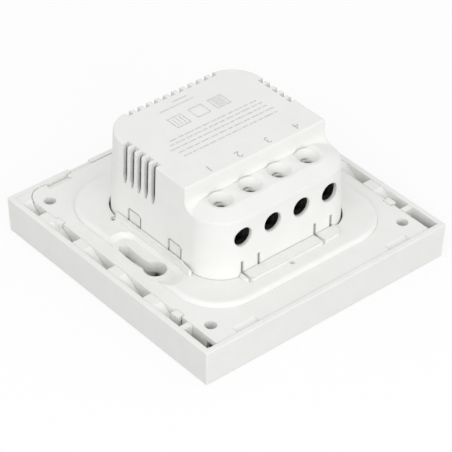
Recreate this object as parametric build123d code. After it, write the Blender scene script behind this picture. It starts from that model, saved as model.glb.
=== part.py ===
from build123d import *
import math
import os

os.makedirs("parts", exist_ok=True)

# The switch lies on its front face: the front rim is z = 0 and +Z points into the wall.
# The terminals are on the -Y side, and the rockers hinge near their +Y ends.

# Clearances
FIT_GAP = 0.05            # radial gap of a pin, stub or screw in its hole
PART_GAP = 0.15           # between mouldings that snap together
MOVE_GAP = 0.3            # between a moving piece and what it must not touch

# Bezel
BEZEL_BACK = 85.6         # outer square at the back rim
BEZEL_FRONT = 84.9        # outer square at the front face
RIM_DEPTH = 11.0
RIM_WALL = 1.7
FACE_THICK = 2.0
WINDOW_SIZE = 66.2        # square opening for the rockers
WINDOW_RADIUS = 1.5
LIP_WALL = 1.0
LIP_HEIGHT = 1.4
RIB_THICK = 4.4
RIB_PITCH = 15.1
RIB_FACE = 0.6            # +Y face of the middle rib
RIB_TOP_DROP = 0.15       # rib tops below the rim
RIB_STEPS = (-1, 0, 1, 2)
RIB_END_THICK = 1.8       # last rib, beside the open corner pocket
RAMP_DROP = 6.0           # fall of the ramp that floors each pocket
CORNER_START = 38.0       # filled corners, from here to the +Y wall
PEG_INSET_X = 1.6         # peg in the open corner pocket, from the walls
PEG_INSET_Y = 1.2
PEG_R = 0.6
PEG_DROP = 1.6
RIM_CORNER = 0.5
RIM_EDGE = 0.3            # rounding of the rim's outer edges
PRY_NOTCH_X = 18.2        # centre of the notches in the +Y rim
PRY_NOTCH_LENGTH = 7.4
PRY_NOTCH_DEPTH = 0.9
HOOK_Y = 25.3
HOOK_LENGTH = 2.8
HOOK_ARM = 1.2
HOOK_REACH = 0.9
HOOK_SPARE = 0.2          # notch's length past the nib

# Mounting plate
PLATE_SIZE = 75.8
PLATE_EDGE_Y = 41.0       # the plate runs closer to the bezel's Y walls
PLATE_TOP = 10.8
PLATE_THICK = 1.6
PLATE_NEAR_RADIUS = 0.6
PLATE_FAR_RADIUS = 5.0
SKIRT_WALL = 1.2
SKIRT_GAP = 0.2
SKIRT_END = 37.0
CORNER_HOLE = 34.3        # half of the corner holes' spacing
CORNER_HOLE_R = 1.65
CORNER_BOSS_WALL = 1.0    # tube around each corner hole, in front of the plate
CORNER_BOSS_DROP = 3.0
PLATEAU_SIZE = 67.2
PLATEAU_RADIUS = 14.0
PLATEAU_RISE = 1.4
PLATEAU_FILLET = 1.2
COLLAR_RISE = 2.5
COLLAR_OUTER = 29.1
COLLAR_LENGTH = 34.0
COLLAR_RADIUS = 2.2
CLIP_RIB_RISE = 3.1
CLIP_RIB_WALL = 1.0
CLIP_RIB_FAR = 15.6
CLIP_RIB_BEND = 12.0
CLIP_RIB_NEAR = 16.9
CLIP_RIB_FLARE = 0.8
CLIP_RIB_FAR_SLANT = 0.4
CLIP_RIB_TIP_SLANT = 0.2
CLIP_RIB_INNER_BEND = 1.5
DISH_FLOOR = 10.8          # bite out of the plateau around each wall-box slot
DISH_INNER = 27.6         # floor's edge beside the module, and its outer edge
DISH_OUTER = 33.9
DISH_WALL = 1.2
DISH_FAR = 8.4            # floor's ends along the slot
DISH_NEAR = 13.0
DISH_RADIUS = 2.5
DISH_RUN_INNER = 0.8      # how far each side opens out up to the plateau's top
DISH_RUN_OUTER = 2.0
DISH_RUN_FAR = 1.6
DISH_RUN_NEAR = 4.0
BOX_SCREW_SPACING = 64.2  # centre line of the wall-box slots
BOX_SLOT_WIDTH = 3.0
BOX_SLOT_ANGLE = 8.4      # from the middle to the slot's plain end
BOX_KEYHOLE_R = 3.15
BOX_KEYHOLE_ANGLE = 13.3
BOX_KEYHOLE_INSET = 0.45  # towards the module from the slot's centre line
BOX_SLOT_WALL = 0.9       # wall around the slot, in front of the plate
SCOOP_X = 27.0
SCOOP_LENGTH = 7.5
SCOOP_WIDTH = 2.4
SCOOP_DEPTH = 1.0
CORNER_SLOT_WIDTH = 0.4
CORNER_SLOT_END_R = 0.55
CORNER_SLOT_SWEEP = 62.0
CORNER_SLOT_ANGLE = 172.0 # where the arc ends; the link and the hole lie past it
CORNER_SLOT_LINK_ANGLE = 176.0
CORNER_SLOT_LINK = 1.8
CORNER_SLOT_HOLE_OUT = 1.6
DIMPLE_X = -2.0
DIMPLE_R = 0.6
DIMPLE_DEPTH = 0.8

# Module housing
MODULE_TOP = 49.3         # outer square at the back face
MODULE_TOP_Z = 37.3
MODULE_DRAFT = 0.025      # growth of the half size per mm towards the front
MODULE_RADIUS = 10.0
MODULE_FRONT_Z = 9.4
MODULE_WALL = 1.2
MODULE_EDGE = 0.5         # rounding of the back face's and ledge's edges
ROOF_WALL = 1.6
STEP_Y = -12.1            # face between the back face and the terminal ledge
LEDGE_Z = 30.4
SWEEP_R = 3.2
TERMINAL_COUNT = 4
TERMINAL_PITCH = 10.2
SCREW_Y = -15.6
SWELL_RISE = 1.4          # swell of the ledge around the screw holes
SWELL_INSET = 0.3         # its foot and its flat top, in from the module's outer face
SWELL_TOP_INSET = 5.2
FUNNEL_HOLE_R = 1.7       # screw hole, at the foot of its funnel
FUNNEL_NECK = 0.65        # its straight part, up from the foot of the well
FUNNEL_FLARE_R = 4.7      # soft edge of the funnel in the swell's top
FUNNEL_FLARE_DROP = 0.35
FUNNEL_R = 3.8            # widest part, where the cup bites into the step's face
FUNNEL_RISE = 1.9         # from the ledge up to the widest part
FUNNEL_CAP = 2.4          # from there up to its closed top
FUNNEL_TOP_R = 2.0
WELL_DEPTH = 0.8          # tube under the ledge, around each screw hole
WELL_WALL = 0.9
WIRE_Z = 24.5
WIRE_HOLE_R = 2.85
WIRE_CHAMFER = 0.35
VENT_WIDTH = 1.7
VENT_TIP_WIDTH = 0.7
VENT_TIP_LENGTH = 2.0
VENT_PITCH = 2.95
VENT_DEPTH = 1.8
VENT_TIP_Z = 25.0
SIDE_VENTS = 5
SIDE_VENT_Y = 6.85        # middle of each side row
BACK_VENTS = 11
WINDOW_Y = 8.5            # snap windows in the X walls
WINDOW_WIDTH = 5.7
WINDOW_BOTTOM = 12.6
WINDOW_TOP = 17.8
WINDOW_CORNER = 0.8
WINDOW_GAP = 0.65
TONGUE_X = 12.9           # snap tongues in the Y walls
TONGUE_HALF = 2.9
TONGUE_TOP = 16.8
TONGUE_SLIT = 0.8
FLANGE_LENGTH = 18.0
FLANGE_REACH = 1.5
FLANGE_ROOT = 0.4         # how far it runs into the wall

# Module cover
COVER_Z = 10.9
COVER_THICK = 1.6
ARM_THICK = 0.9
ARM_TOP_DROP = 0.5
NIB_SET_BACK = 0.05
COVER_POST_R = 2.2
COVER_POST_XY = 18.0
FRONT_POST_R = 1.7
FRONT_POST_X = 18.5
FRONT_POST_YS = (-4.0, 14.0)

# Boards
CONTROL_BOARD_Z = 7.4
CONTROL_BOARD_THICK = 1.2
CONTROL_BOARD_SIZE = 45.2
BOARD_RADIUS = 7.8
POWER_BOARD_Z = 15.0
POWER_BOARD_THICK = 1.6
POWER_BOARD_X = 44.4
POWER_BOARD_Y = 45.6
HEADER_Y = 19.6
HEADER_PINS = 5
HEADER_PITCH = 2.54
HEADER_PIN = 0.64
HEADER_PIN_OUT = 0.5      # how far the pins stand out of the boards
HEADER_BODY_WIDTH = 4.0
HEADER_BODY_HEIGHT = 2.4
HEADER_WINDOW_X = 0.8     # room around the connector's body in the cover
HEADER_WINDOW_Y = 0.2
BOARD_SCREW_R = 0.95
BOARD_SCREW_HEAD_R = 1.9
BOARD_SCREW_HEAD = 1.2
BOARD_SCREW_DEPTH = 1.9
BOARD_SLOT_LENGTH = 2.2
BOARD_SLOT_WIDTH = 0.5
BOARD_SLOT_DEPTH = 0.6

# Terminals
HEAD_R = 2.6
HEAD_HEIGHT = 1.0
HEAD_EDGE = 0.3
HEAD_SLOT = 0.7
HEAD_SLOT_DEPTH = 0.7
SHAFT_R = 1.75
SCREW_LEAD = 0.6          # thread lead per turn
CLAMP_TRAVEL = 1.2
CAGE_WALL = 0.8
CAGE_EDGE = 0.5
CAGE_INNER_HEIGHT = 2.7
CAGE_INNER_WIDTH = 5.0
CAGE_FRONT = 3.1          # from the screw's axis towards the wire hole
CAGE_BACK = 2.7
BAR_THICK = 0.8
BAR_WIDTH = 4.4
BAR_HEAD_WIDTH = 7.0
BAR_HEAD_LENGTH = 1.8
BAR_REACH = 5.4           # bar's front end from the screw's axis
LEG_WIDTH = 2.4
LEG_TAIL = 0.8            # solder tail past the board
CHAMBER_HALF = 4.0
CHAMBER_FLOOR = 19.6
BLOCK_FRONT_WALL = 1.5
BLOCK_BACK_WALL = 0.8
BLOCK_ROOF_GAP = 0.2

# Rockers and carrier
ROCKER_Z = 0.3            # front faces sit back from the rim
ROCKER_THICK = 2.0
ROCKER_LENGTH = 65.5
ROCKER_SPLIT = 0.5        # gap between the two rockers
ROCKER_EDGE_GAP = 0.35
ROCKER_RADIUS = 1.2
ROCKER_EDGE = 0.3
ROCKER_SKIRT = 1.0
HINGE_Y = 28.5
HINGE_Z = 4.3
STUB_R = 0.9
STUB_LENGTH = 1.6
LUG_THICK = 1.6
LUG_R = 1.7
LUG_SPREAD = 20.0
EAR_THICK = 1.6
EAR_HALF = 2.0
EAR_FRONT = 2.9
PRESS_DEGREES = 1.2
CARRIER_Z = 5.2
CARRIER_THICK = 1.6
CARRIER_SIZE = 73.0
CARRIER_WALL = 1.2
CARRIER_CORNER = 6.0      # corners cut away for the corner holes
SCREW_ACCESS_SPARE = 0.45 # room around each keyhole's round end

# Switches and indicators on the control board
SWITCH_X = 16.4
SWITCH_Y = -10.0
SWITCH_BODY = 6.0
SWITCH_EDGE = 0.5
SWITCH_ROOM = 0.7         # around the switch in the carrier
SWITCH_HEIGHT = 2.5
SWITCH_FLOOR = 0.2
PLUNGER_R = 1.6
PLUNGER_OUT = 1.0
PLUNGER_LENGTH = 2.4
PUSH_POST_R = 1.5
LENS_Y = -19.5
LENS_R = 1.2
GUIDE_R = 1.4
GUIDE_FLANGE_R = 2.2
GUIDE_FLANGE = 0.6
GUIDE_FRONT = 3.8
GUIDE_SET_BACK = 0.3
LED_SIZE = 1.6
LED_HEIGHT = 0.7

# Parts on the power board, placed from the module's axis
RELAY_X = 10.2
RELAY_Y = 18.4
RELAY_Z = 15.3
RELAY_EDGE = 0.6
RELAY_FROM_STEP = 3.2
RELAY_LEFT_X = -14.9
RELAY_RIGHT_X = -3.5
RELAY_MARK = 1.4          # square mark sunk in the relay's top
RELAY_MARK_DEPTH = 0.4
TRANSFORMER_X = 10.5
TRANSFORMER_Y = -2.8
CORE_WIDTH = 13.0
CORE_THICK = 6.2
CORE_HEIGHT = 12.6
CORE_LEG = 2.6
WINDING_Y = 10.8
WINDING_EDGE = 1.5
BULK_X = 9.0              # the two round capacitors
BULK_Y = 9.6
BULK_R = 4.0
BULK_HEIGHT = 12.0
OUTPUT_X = 17.4
OUTPUT_Y = 8.6
OUTPUT_R = 3.15
OUTPUT_HEIGHT = 11.0
CAN_EDGE = 0.5
CAN_GROOVE_START = 1.6
CAN_GROOVE_WIDTH = 0.6
CAN_GROOVE_DEPTH = 0.25
VARISTOR_X = 15.0
VARISTOR_Y = 14.6
VARISTOR_R = 3.6
VARISTOR_THICK = 2.4
VARISTOR_LIFT = 1.2
VARISTOR_LEG_X = 1.9
VARISTOR_LEG_R = 0.35
FUSE_X = -14.0
FUSE_Y = 13.6
FUSE_R = 1.9
FUSE_LENGTH = 8.6
FUSE_LIFT = 2.6
FUSE_LEG_X = 3.2
FUSE_LEG = 0.8
RECTIFIER_X = 0.85
RECTIFIER_Y = 13.0
RECTIFIER_WIDTH = 4.7
RECTIFIER_LENGTH = 4.4
RECTIFIER_HEIGHT = 2.4

# Radio module on the control board
RADIO_X = 5.0             # middle of the module, its chip and its shield
RADIO_Y = -3.0
RADIO_WIDTH = 16.0
RADIO_LENGTH = 20.0
RADIO_THICK = 0.8
CHIP_Y = 0.0
CHIP_SIZE = 6.0
CHIP_THICK = 0.7
SHIELD_Y = -1.1
SHIELD_WIDTH = 13.6
SHIELD_LENGTH = 13.8
SHIELD_WALL = 0.25

# Worked out from the sizes above
RIM_HALF = BEZEL_BACK / 2 - RIM_WALL
PLATE_HALF = PLATE_SIZE / 2
PLATE_BOTTOM = PLATE_TOP - PLATE_THICK
PLATEAU_TOP = PLATE_TOP + PLATEAU_RISE
COLLAR_TOP = PLATE_TOP + COLLAR_RISE
CARRIER_BACK = CARRIER_Z + CARRIER_THICK
ROOF_IN = MODULE_TOP_Z - ROOF_WALL
LEDGE_IN = LEDGE_Z - ROOF_WALL
POWER_BOARD_BACK = POWER_BOARD_Z + POWER_BOARD_THICK
CONTROL_BOARD_BACK = CONTROL_BOARD_Z + CONTROL_BOARD_THICK
WELL_FRONT = LEDGE_IN - WELL_DEPTH
HEAD_TOP = WELL_FRONT - MOVE_GAP
HEAD_BOTTOM = HEAD_TOP - HEAD_HEIGHT
CAGE_TOP = HEAD_BOTTOM - 2 * FIT_GAP - CLAMP_TRAVEL
BAR_TOP = CAGE_TOP - CAGE_WALL - 2 * FIT_GAP
BAR_BOTTOM = BAR_TOP - BAR_THICK
CAGE_BOTTOM = CAGE_TOP - CAGE_INNER_HEIGHT - 2 * CAGE_WALL
ROCKER_BACK = ROCKER_Z + ROCKER_THICK
ROCKER_WIDTH = WINDOW_SIZE / 2 - ROCKER_EDGE_GAP - ROCKER_SPLIT / 2
ROCKER_MIDDLE = ROCKER_SPLIT / 2 + ROCKER_WIDTH / 2
SWITCH_FRONT = CONTROL_BOARD_Z - SWITCH_HEIGHT
PLUNGER_FRONT = SWITCH_FRONT - PLUNGER_OUT


def box(x0, x1, y0, y1, z0, z1):
    return Pos((x0 + x1) / 2, (y0 + y1) / 2, (z0 + z1) / 2) * Box(x1 - x0, y1 - y0, z1 - z0)


def post(x, y, z0, z1, radius):
    return Pos(x, y, (z0 + z1) / 2) * Cylinder(radius, z1 - z0)


def bar_along_x(x0, x1, y, z, radius):
    return Pos((x0 + x1) / 2, y, z) * Rot(0, 90, 0) * Cylinder(radius, x1 - x0)


def square_block(size_x, size_y, radius, z0, z1):
    return Pos(0, 0, z0) * extrude(RectangleRounded(size_x, size_y, radius), amount=z1 - z0)


def square_ring(outer, inner, z0, z1):
    return box(-outer, outer, -outer, outer, z0, z1) - box(-inner, inner, -inner, inner, z0, z1)


def module_half(z):
    return MODULE_TOP / 2 + (MODULE_TOP_Z - z) * MODULE_DRAFT


def module_block(inset, z0, z1):
    """Drafted rounded square of the module, set in from its outer face."""
    sections = []
    for z in (z0, z1):
        side = 2 * (module_half(z) - inset)
        sections.append(Pos(0, 0, z) * RectangleRounded(side, side, MODULE_RADIUS - inset))
    return loft(sections, ruled=True)


def step_space(grow):
    """Room above the terminal ledge, grown by a wall towards the inside of the module."""
    reach = BEZEL_BACK / 2
    room = box(-reach, reach, -reach, STEP_Y + grow, LEDGE_Z - grow, MODULE_TOP_Z + grow + 1)
    corner = room.edges().filter_by(Axis.X).group_by(Axis.Z)[0].sort_by(Axis.Y)[-1]
    return fillet(corner, SWEEP_R + grow)


def terminal_xs():
    first = -TERMINAL_PITCH * (TERMINAL_COUNT - 1) / 2
    return [first + TERMINAL_PITCH * k for k in range(TERMINAL_COUNT)]


def bezel_frame():
    front = RectangleRounded(BEZEL_FRONT, BEZEL_FRONT, RIM_CORNER)
    back = Pos(0, 0, RIM_DEPTH) * RectangleRounded(BEZEL_BACK, BEZEL_BACK, RIM_CORNER)
    frame = loft([front, back], ruled=True)
    levels = frame.edges().group_by(Axis.Z)
    frame = fillet(levels[0] + levels[-1], RIM_EDGE)
    frame -= box(-RIM_HALF, RIM_HALF, -RIM_HALF, RIM_HALF, FACE_THICK, RIM_DEPTH)
    lip = WINDOW_SIZE + 2 * LIP_WALL
    frame += square_block(lip, lip, WINDOW_RADIUS + LIP_WALL, FACE_THICK, FACE_THICK + LIP_HEIGHT)
    frame -= square_block(WINDOW_SIZE, WINDOW_SIZE, WINDOW_RADIUS, 0, FACE_THICK + LIP_HEIGHT)
    for side in (-1, 1):
        band = rim_band()
        frame += band if side > 0 else mirror(band, Plane.YZ)
        notch_start = side * PRY_NOTCH_X - PRY_NOTCH_LENGTH / 2
        frame -= box(notch_start, notch_start + PRY_NOTCH_LENGTH, RIM_HALF - 1, BEZEL_BACK / 2 + 1,
                     RIM_DEPTH - PRY_NOTCH_DEPTH, RIM_DEPTH)
        for hook_y in (-HOOK_Y, HOOK_Y):
            frame += bezel_hook(side, hook_y)
    return frame


def rim_band():
    """Ribs, ramped pockets, filled corner and peg along the inside of the +X rim wall."""
    start = PLATE_HALF + FIT_GAP
    top = RIM_DEPTH - RIB_TOP_DROP
    deep = top - RAMP_DROP
    pockets = []
    for step in RIB_STEPS:
        face = RIB_FACE + step * RIB_PITCH
        pockets.append((face - RIB_THICK, face - RIB_PITCH))
    pockets.append((CORNER_START, RIB_FACE + RIB_STEPS[-1] * RIB_PITCH))
    last = RIB_FACE + (RIB_STEPS[0] - 1) * RIB_PITCH
    band = box(start, RIM_HALF, last - RIB_END_THICK, last, FACE_THICK, top)
    for step in RIB_STEPS:
        face = RIB_FACE + step * RIB_PITCH
        band += box(start, RIM_HALF, face - RIB_THICK, face, FACE_THICK, top)
    for high, low in pockets:
        ramp = Polygon((low, FACE_THICK), (high, FACE_THICK), (high, top), (low, deep), align=None)
        band += Pos(start, 0, 0) * extrude(Plane.YZ * ramp, amount=RIM_HALF - start)
    corner_x = PLATE_HALF - PLATE_FAR_RADIUS
    corner_y = PLATE_EDGE_Y - PLATE_FAR_RADIUS
    corner = box(corner_x, RIM_HALF, CORNER_START, RIM_HALF, FACE_THICK, top)
    corner += box(corner_x, start, corner_y, CORNER_START, FACE_THICK, top)
    band += corner - post(corner_x, corner_y, FACE_THICK, top, PLATE_FAR_RADIUS + PART_GAP)
    return band + post(RIM_HALF - PEG_INSET_X, -RIM_HALF + PEG_INSET_Y, FACE_THICK, top - PEG_DROP,
                       PEG_R)


def bezel_hook(side, y):
    """Arm beside the plate's skirt, with a nib over the notch in the plate's edge."""
    inner = PLATE_HALF + FIT_GAP
    y0 = y - HOOK_LENGTH / 2
    y1 = y + HOOK_LENGTH / 2
    top = RIM_DEPTH - RIB_TOP_DROP
    hook = box(inner, inner + HOOK_ARM, y0, y1, FACE_THICK, top)
    hook += box(inner - HOOK_REACH, inner, y0, y1, top - HOOK_ARM, top)
    return hook if side > 0 else mirror(hook, Plane.YZ)


def plate_outline():
    far = PLATE_EDGE_Y - PLATE_FAR_RADIUS
    sheet = Rectangle(PLATE_SIZE, 2 * PLATE_EDGE_Y)
    near_corners = sheet.vertices().group_by(Axis.Y)[0]
    sheet = fillet(near_corners, PLATE_NEAR_RADIUS)
    far_corners = [v for v in sheet.vertices() if v.Y > far and abs(abs(v.X) - PLATE_HALF) < 0.01]
    return fillet(far_corners, PLATE_FAR_RADIUS)


def dish_outline(z, grow):
    """Outline of the recess around one wall-box slot at one height."""
    rise = (z - DISH_FLOOR) / (PLATEAU_TOP - DISH_FLOOR)
    inner = DISH_INNER - grow - rise * DISH_RUN_INNER
    outer = DISH_OUTER + grow + rise * DISH_RUN_OUTER
    far = DISH_FAR + grow + rise * DISH_RUN_FAR
    near = DISH_NEAR + grow + rise * DISH_RUN_NEAR
    radius = DISH_RADIUS + grow + rise * DISH_RUN_FAR
    outline = RectangleRounded(outer - inner, far + near, radius)
    return Pos(-(inner + outer) / 2, (far - near) / 2, z) * outline


def dish_space():
    return loft([dish_outline(DISH_FLOOR, 0), dish_outline(PLATEAU_TOP + 0.1, 0)], ruled=True)


def dish_tub():
    """Walls and floor behind the recess."""
    lower = Pos(0, 0, -PLATE_THICK) * dish_outline(DISH_FLOOR, DISH_WALL)
    return loft([lower, dish_outline(PLATE_TOP, DISH_WALL)], ruled=True)


def box_slot_outline(grow):
    """Arc slot for a wall-box screw, with a round end that its head passes through."""
    radius = BOX_SCREW_SPACING / 2
    sweep = BOX_SLOT_ANGLE + BOX_KEYHOLE_ANGLE
    slot = SlotArc(CenterArc((0, 0), radius, 180 - BOX_SLOT_ANGLE, sweep), BOX_SLOT_WIDTH + 2 * grow)
    keyhole = Pos(radius - BOX_KEYHOLE_INSET, 0, 0) * Circle(BOX_KEYHOLE_R + grow)
    return slot + Rot(0, 0, 180 + BOX_KEYHOLE_ANGLE) * keyhole


def clip_rib():
    """Thin springy rib along the module's side wall, flared away at one end."""
    inner = module_half(MODULE_FRONT_Z) + FIT_GAP
    outer = inner + CLIP_RIB_WALL
    flare = CLIP_RIB_FLARE
    outline = Polygon(
        (-inner, CLIP_RIB_FAR),
        (-outer, CLIP_RIB_FAR - CLIP_RIB_FAR_SLANT),
        (-outer, -CLIP_RIB_BEND),
        (-outer - flare, -CLIP_RIB_NEAR + CLIP_RIB_TIP_SLANT),
        (-inner - flare, -CLIP_RIB_NEAR),
        (-inner - flare / 2, -CLIP_RIB_BEND - CLIP_RIB_INNER_BEND),
        (-inner, -CLIP_RIB_BEND),
        align=None,
    )
    return Pos(0, 0, DISH_FLOOR) * extrude(outline, amount=PLATE_TOP + CLIP_RIB_RISE - DISH_FLOOR)


def corner_slot():
    """Thin curved gap beside one corner of the module, ending in a small round hole."""
    centre = module_half(MODULE_FRONT_Z) - MODULE_RADIUS
    radius = MODULE_RADIUS + CORNER_SLOT_WIDTH / 2
    start = CORNER_SLOT_ANGLE - CORNER_SLOT_SWEEP
    slot = SlotArc(CenterArc((0, 0), radius, start, CORNER_SLOT_SWEEP), CORNER_SLOT_WIDTH)
    end = Rot(0, 0, 180) * Pos(radius + CORNER_SLOT_HOLE_OUT, 0, 0) * Circle(CORNER_SLOT_END_R)
    link = Rectangle(CORNER_SLOT_LINK, CORNER_SLOT_WIDTH)
    link = Rot(0, 0, CORNER_SLOT_LINK_ANGLE) * Pos(radius + CORNER_SLOT_HOLE_OUT / 2, 0, 0) * link
    cutter = extrude(slot + end + link, amount=COLLAR_TOP)
    return Pos(-centre, centre, 0) * cutter


def mounting_plate():
    plate = Pos(0, 0, PLATE_BOTTOM) * extrude(plate_outline(), amount=PLATE_THICK)
    skirt_bottom = FACE_THICK + SKIRT_GAP
    for side in (-1, 1):
        wall = box(PLATE_HALF - SKIRT_WALL, PLATE_HALF, -SKIRT_END, PLATE_EDGE_Y - PLATE_FAR_RADIUS,
                   skirt_bottom, PLATE_BOTTOM)
        plate += wall if side > 0 else mirror(wall, Plane.YZ)
    plateau = square_block(PLATEAU_SIZE, PLATEAU_SIZE, PLATEAU_RADIUS, PLATE_TOP, PLATEAU_TOP)
    plateau = fillet(plateau.edges().group_by(Axis.Z)[-1], PLATEAU_FILLET)
    hollow = PLATEAU_SIZE - 2 * PLATE_THICK
    plate += plateau
    plate -= square_block(hollow, hollow, PLATEAU_RADIUS - PLATE_THICK, PLATE_BOTTOM,
                          PLATEAU_TOP - PLATE_THICK)
    for side in (-1, 1):
        collar = Rectangle(COLLAR_LENGTH, COLLAR_OUTER - module_half(COLLAR_TOP) + 1)
        collar = fillet(collar.vertices(), COLLAR_RADIUS)
        middle = COLLAR_OUTER - (COLLAR_OUTER - module_half(COLLAR_TOP) + 1) / 2
        plate += Pos(0, side * middle, PLATE_TOP) * extrude(collar, amount=COLLAR_RISE)
    for turn in (0, 180):
        plate += Rot(0, 0, turn) * dish_tub()
        wall = Pos(0, 0, CARRIER_BACK + MOVE_GAP) * extrude(
            box_slot_outline(BOX_SLOT_WALL), amount=DISH_FLOOR - CARRIER_BACK - MOVE_GAP)
        plate += Rot(0, 0, turn) * wall
    for turn in (0, 180):
        plate -= Rot(0, 0, turn) * dish_space()
        plate += Rot(0, 0, turn) * clip_rib()
    opening = 2 * (module_half(MODULE_FRONT_Z) + FIT_GAP)
    plate -= square_block(opening, opening, MODULE_RADIUS + FIT_GAP, 0, MODULE_TOP_Z)
    for turn in (0, 180):
        plate -= Rot(0, 0, turn) * extrude(box_slot_outline(0), amount=PLATEAU_TOP)
        plate -= Rot(0, 0, turn) * corner_slot()
    for sx in (-1, 1):
        for sy in (-1, 1):
            plate += post(sx * CORNER_HOLE, sy * CORNER_HOLE, PLATE_BOTTOM - CORNER_BOSS_DROP,
                          PLATE_BOTTOM, CORNER_HOLE_R + CORNER_BOSS_WALL)
            plate -= post(sx * CORNER_HOLE, sy * CORNER_HOLE, 0, RIM_DEPTH, CORNER_HOLE_R)
            plate -= hook_notch(sx, sy * HOOK_Y)
            plate -= scoop(sx, sy)
        slit_x = sx * TONGUE_X - TONGUE_HALF
        for sy in (-1, 1):
            plate -= Pos(slit_x, sy * COLLAR_OUTER, COLLAR_TOP) * Box(
                TONGUE_SLIT, 2 * (COLLAR_OUTER - MODULE_TOP / 2), 2 * (COLLAR_TOP - PLATEAU_TOP))
    plate -= post(DIMPLE_X, -COLLAR_OUTER - DIMPLE_R, PLATEAU_TOP - DIMPLE_DEPTH, PLATEAU_TOP + 0.1,
                  DIMPLE_R)
    return plate


def hook_notch(side, y):
    """Notch in the plate's edge and skirt for a bezel hook, a little longer than its nib."""
    inner = PLATE_HALF - HOOK_REACH
    y0 = y - HOOK_LENGTH / 2 - HOOK_SPARE
    y1 = y + HOOK_LENGTH / 2 + PART_GAP
    notch = box(inner, PLATE_HALF + 1, y0, y1, PLATE_BOTTOM - HOOK_ARM, RIM_DEPTH)
    return notch if side > 0 else mirror(notch, Plane.YZ)


def scoop(side_x, side_y):
    """Shallow finger scoop in the plate's Y edges."""
    edge = PLATE_EDGE_Y
    profile = Polygon(
        (edge - SCOOP_WIDTH, PLATE_TOP),
        (edge + 1, PLATE_TOP - SCOOP_DEPTH * (SCOOP_WIDTH + 1) / SCOOP_WIDTH),
        (edge + 1, PLATE_TOP + 1),
        (edge - SCOOP_WIDTH, PLATE_TOP + 1),
        align=None,
    )
    cutter = extrude(Plane.YZ * profile, amount=SCOOP_LENGTH / 2, both=True)
    cutter = Pos(SCOOP_X, 0, 0) * cutter
    if side_x < 0:
        cutter = mirror(cutter, Plane.YZ)
    if side_y < 0:
        cutter = mirror(cutter, Plane.XZ)
    return cutter


def vent(reach):
    """Vent slot along X, pointed at its foot, that runs out through the back face."""
    w = VENT_WIDTH / 2
    tip = VENT_TIP_WIDTH / 2
    shoulder = VENT_TIP_Z + VENT_TIP_LENGTH
    top = MODULE_TOP_Z + 1
    outline = Polygon((-tip, VENT_TIP_Z), (tip, VENT_TIP_Z), (w, shoulder), (w, top), (-w, top),
                      (-w, shoulder), align=None)
    inner = MODULE_TOP / 2 - VENT_DEPTH
    return Pos(inner, 0, 0) * extrude(Plane.YZ * outline, amount=reach)


def snap_window():
    width = WINDOW_WIDTH
    opening = Polygon((-width / 2, WINDOW_BOTTOM), (width / 2, WINDOW_BOTTOM),
                      (width / 2, WINDOW_TOP - WINDOW_CORNER), (width / 2 - WINDOW_CORNER, WINDOW_TOP),
                      (-width / 2 + WINDOW_CORNER, WINDOW_TOP),
                      (-width / 2, WINDOW_TOP - WINDOW_CORNER), align=None)
    inner = module_half(WINDOW_TOP) - MODULE_WALL - 1
    return Pos(inner, 0, 0) * extrude(Plane.YZ * opening, amount=MODULE_WALL + 3)


def ledge_swell():
    """Gentle swell of the ledge, highest around the screw holes."""
    levels = ((LEDGE_Z, SWELL_INSET), (LEDGE_Z + SWELL_RISE, SWELL_TOP_INSET))
    sections = []
    for z, inset in levels:
        side = 2 * (module_half(LEDGE_Z) - inset)
        sections.append(Pos(0, 0, z) * RectangleRounded(side, side, MODULE_RADIUS - inset))
    reach = BEZEL_BACK / 2
    near = box(-reach, reach, -reach, STEP_Y + ROOF_WALL / 2, LEDGE_Z, LEDGE_Z + SWELL_RISE)
    return loft(sections, ruled=True) & near


def funnel(x):
    """Way in to one terminal screw: a flared bowl that bites into the step's face, and a hole."""
    neck = WELL_FRONT + FUNNEL_NECK
    widest = LEDGE_Z + FUNNEL_RISE
    lower = Pos(x, SCREW_Y, (neck + widest) / 2) * Cone(FUNNEL_HOLE_R, FUNNEL_R, widest - neck)
    upper = Pos(x, SCREW_Y, widest + FUNNEL_CAP / 2) * Cone(FUNNEL_R, FUNNEL_TOP_R, FUNNEL_CAP)
    bowl = lower + upper
    ring = [e for e in bowl.edges() if abs(e.bounding_box().size.X - 2 * FUNNEL_R) < 0.01]
    bowl = fillet(ring, FUNNEL_R / 4)
    flare_top = LEDGE_Z + SWELL_RISE
    share = (flare_top - FUNNEL_FLARE_DROP - neck) / (widest - neck)
    flare_foot_r = FUNNEL_HOLE_R + share * (FUNNEL_R - FUNNEL_HOLE_R)
    bowl += Pos(x, SCREW_Y, flare_top - FUNNEL_FLARE_DROP / 2) * Cone(flare_foot_r, FUNNEL_FLARE_R,
                                                                      FUNNEL_FLARE_DROP)
    return bowl + post(x, SCREW_Y, WELL_FRONT - 1, neck, FUNNEL_HOLE_R)


def module_outside():
    """Stepped outer form of the module, with its edges rounded from the ledge up."""
    block = module_block(0, MODULE_FRONT_Z, MODULE_TOP_Z) - step_space(0)
    rounded = []
    for edge in block.edges():
        room = edge.bounding_box()
        in_sweep = room.size.X > MODULE_TOP / 2 and room.min.Y > 1 - module_half(LEDGE_Z)
        if room.min.Z > LEDGE_Z - 0.05 and not (in_sweep and room.max.Z < MODULE_TOP_Z - 0.01):
            rounded.append(edge)
    return fillet(rounded, MODULE_EDGE)


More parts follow.
